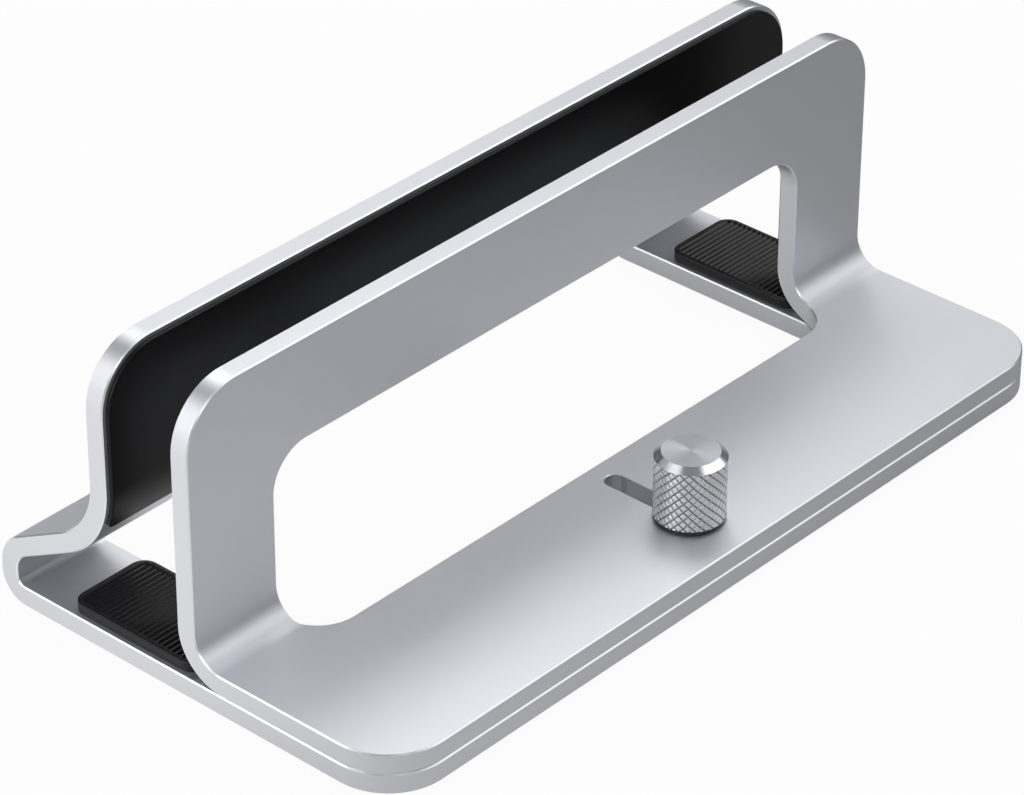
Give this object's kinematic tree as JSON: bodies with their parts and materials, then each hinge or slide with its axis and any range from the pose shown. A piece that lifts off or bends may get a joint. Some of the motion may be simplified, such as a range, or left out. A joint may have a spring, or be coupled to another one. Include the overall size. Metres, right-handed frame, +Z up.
{
  "type": "vertical laptop stand",
  "caption": "Adjustable upright stand of two folded metal sheets that hold a closed laptop on edge between two padded walls, clamped by a knurled knob.",
  "frame": {"origin": "on the desk, under the middle of the closed stand's box", "axes": "+X along the walls to the right, +Y from the front edge to the rear fold, +Z up"},
  "size_m": [0.18, 0.0936, 0.061],
  "materials": {
    "silver_sheet": "bead-blasted and silver anodised, with bright-cut edges",
    "knob_metal": "turned, diamond-knurled side and polished rim",
    "screw_steel": "plain zinc-plated",
    "washer_plastic": "matt black",
    "wall_silicone": "smooth matt black silicone",
    "rest_silicone": "ribbed matt black silicone",
    "foot_rubber": "matt black rubber"
  },
  "bodies": {
    "base": {"base_frame": "silver_sheet", "rear_wall_pad": "wall_silicone", "left_rest_pad": "rest_silicone", "right_rest_pad": "rest_silicone", "clamp_screw": "screw_steel", "front_left_foot": "foot_rubber", "front_right_foot": "foot_rubber", "rear_left_foot": "foot_rubber", "rear_right_foot": "foot_rubber"},
    "jaw": {"sliding_frame": "silver_sheet", "front_wall_pad": "wall_silicone", "left_guide_screw": "screw_steel", "right_guide_screw": "screw_steel"},
    "washer": {"knob_washer": "washer_plastic"},
    "knob": {"knob": "knob_metal"}
  },
  "joints": [
    {"name": "jaw_slide", "type": "slide", "parent": "base", "child": "jaw", "axis": [0, -1, 0], "range_m": [0, 0.0172]},
    {"name": "knob_lift", "type": "slide", "parent": "base", "child": "washer", "axis": [0, 0, 1], "range_m": [0, 0.0007]},
    {"name": "knob_turn", "type": "hinge", "parent": "washer", "child": "knob", "pos_m": [0, -0.0344, 0.016], "axis": [0, 0, 1], "range_deg": [0, 360]}
  ],
  "couplings": [
    {"joint": "knob_lift", "follows": "knob_turn", "m_per_rad": 0.0001114}
  ]
}
